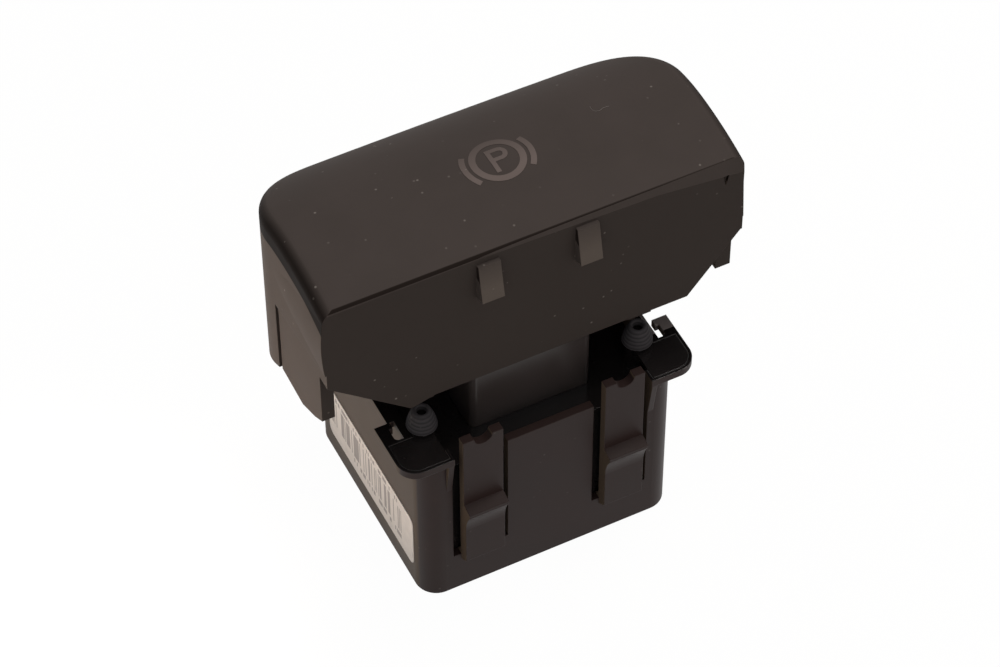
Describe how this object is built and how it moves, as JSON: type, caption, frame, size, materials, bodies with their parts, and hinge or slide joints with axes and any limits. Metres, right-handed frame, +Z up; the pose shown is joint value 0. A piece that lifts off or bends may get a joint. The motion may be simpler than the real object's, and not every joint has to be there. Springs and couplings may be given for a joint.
{
  "type": "electric parking brake switch",
  "caption": "Dashboard pull and push switch: wide moulded cap on a spring-centred square slider in a snap-in housing with a connector socket below.",
  "frame": {"origin": "middle of the housing's bottom face", "axes": "+X to the right along the cap's length, +Y to the back, away from the driver, +Z up along the slider's travel"},
  "size_m": [0.0768, 0.0508, 0.0791],
  "materials": {
    "cap_plastic": "fine grained soft black",
    "housing_plastic": "satin black nylon",
    "frame_plastic": "glossy black",
    "carriage_plastic": "smooth black acetal",
    "cover_plastic": "satin black nylon",
    "buffer_rubber": "soft dark grey rubber",
    "label_paper": "matt coated paper",
    "board_laminate": "green solder mask",
    "chip_plastic": "moulded chip body",
    "led_body": "pale moulded body",
    "pin_metal": "tin plated",
    "spring_steel": "drawn wire",
    "screw_steel": "zinc plated",
    "magnet_metal": "nickel plated",
    "guide_clear": "clear moulded"
  },
  "bodies": {
    "housing_body": {"housing": "housing_plastic", "guide_frame": "frame_plastic", "bottom_cover": "cover_plastic", "label": "label_paper", "buffer_front_left": "buffer_rubber", "buffer_front_right": "buffer_rubber", "buffer_rear_left": "buffer_rubber", "buffer_rear_right": "buffer_rubber", "circuit_board": "board_laminate", "position_sensor_a": "chip_plastic", "position_sensor_b": "chip_plastic", "symbol_led": "led_body", "status_led": "led_body", "terminal_pins": "pin_metal", "board_screws": "screw_steel", "upper_spring_left": "spring_steel", "upper_spring_right": "spring_steel", "lower_spring_left": "spring_steel", "lower_spring_right": "spring_steel"},
    "cap_body": {"cap": "cap_plastic", "carriage": "carriage_plastic", "light_guide": "guide_clear", "sensor_magnet": "magnet_metal"}
  },
  "joints": [
    {"name": "cap_slide", "type": "slide", "parent": "housing_body", "child": "cap_body", "axis": [0, 0, 1], "range_m": [-0.0025, 0.0025], "stiffness_N_per_m": 2000, "deforming": ["upper_spring_left", "upper_spring_right", "lower_spring_left", "lower_spring_right"]}
  ]
}
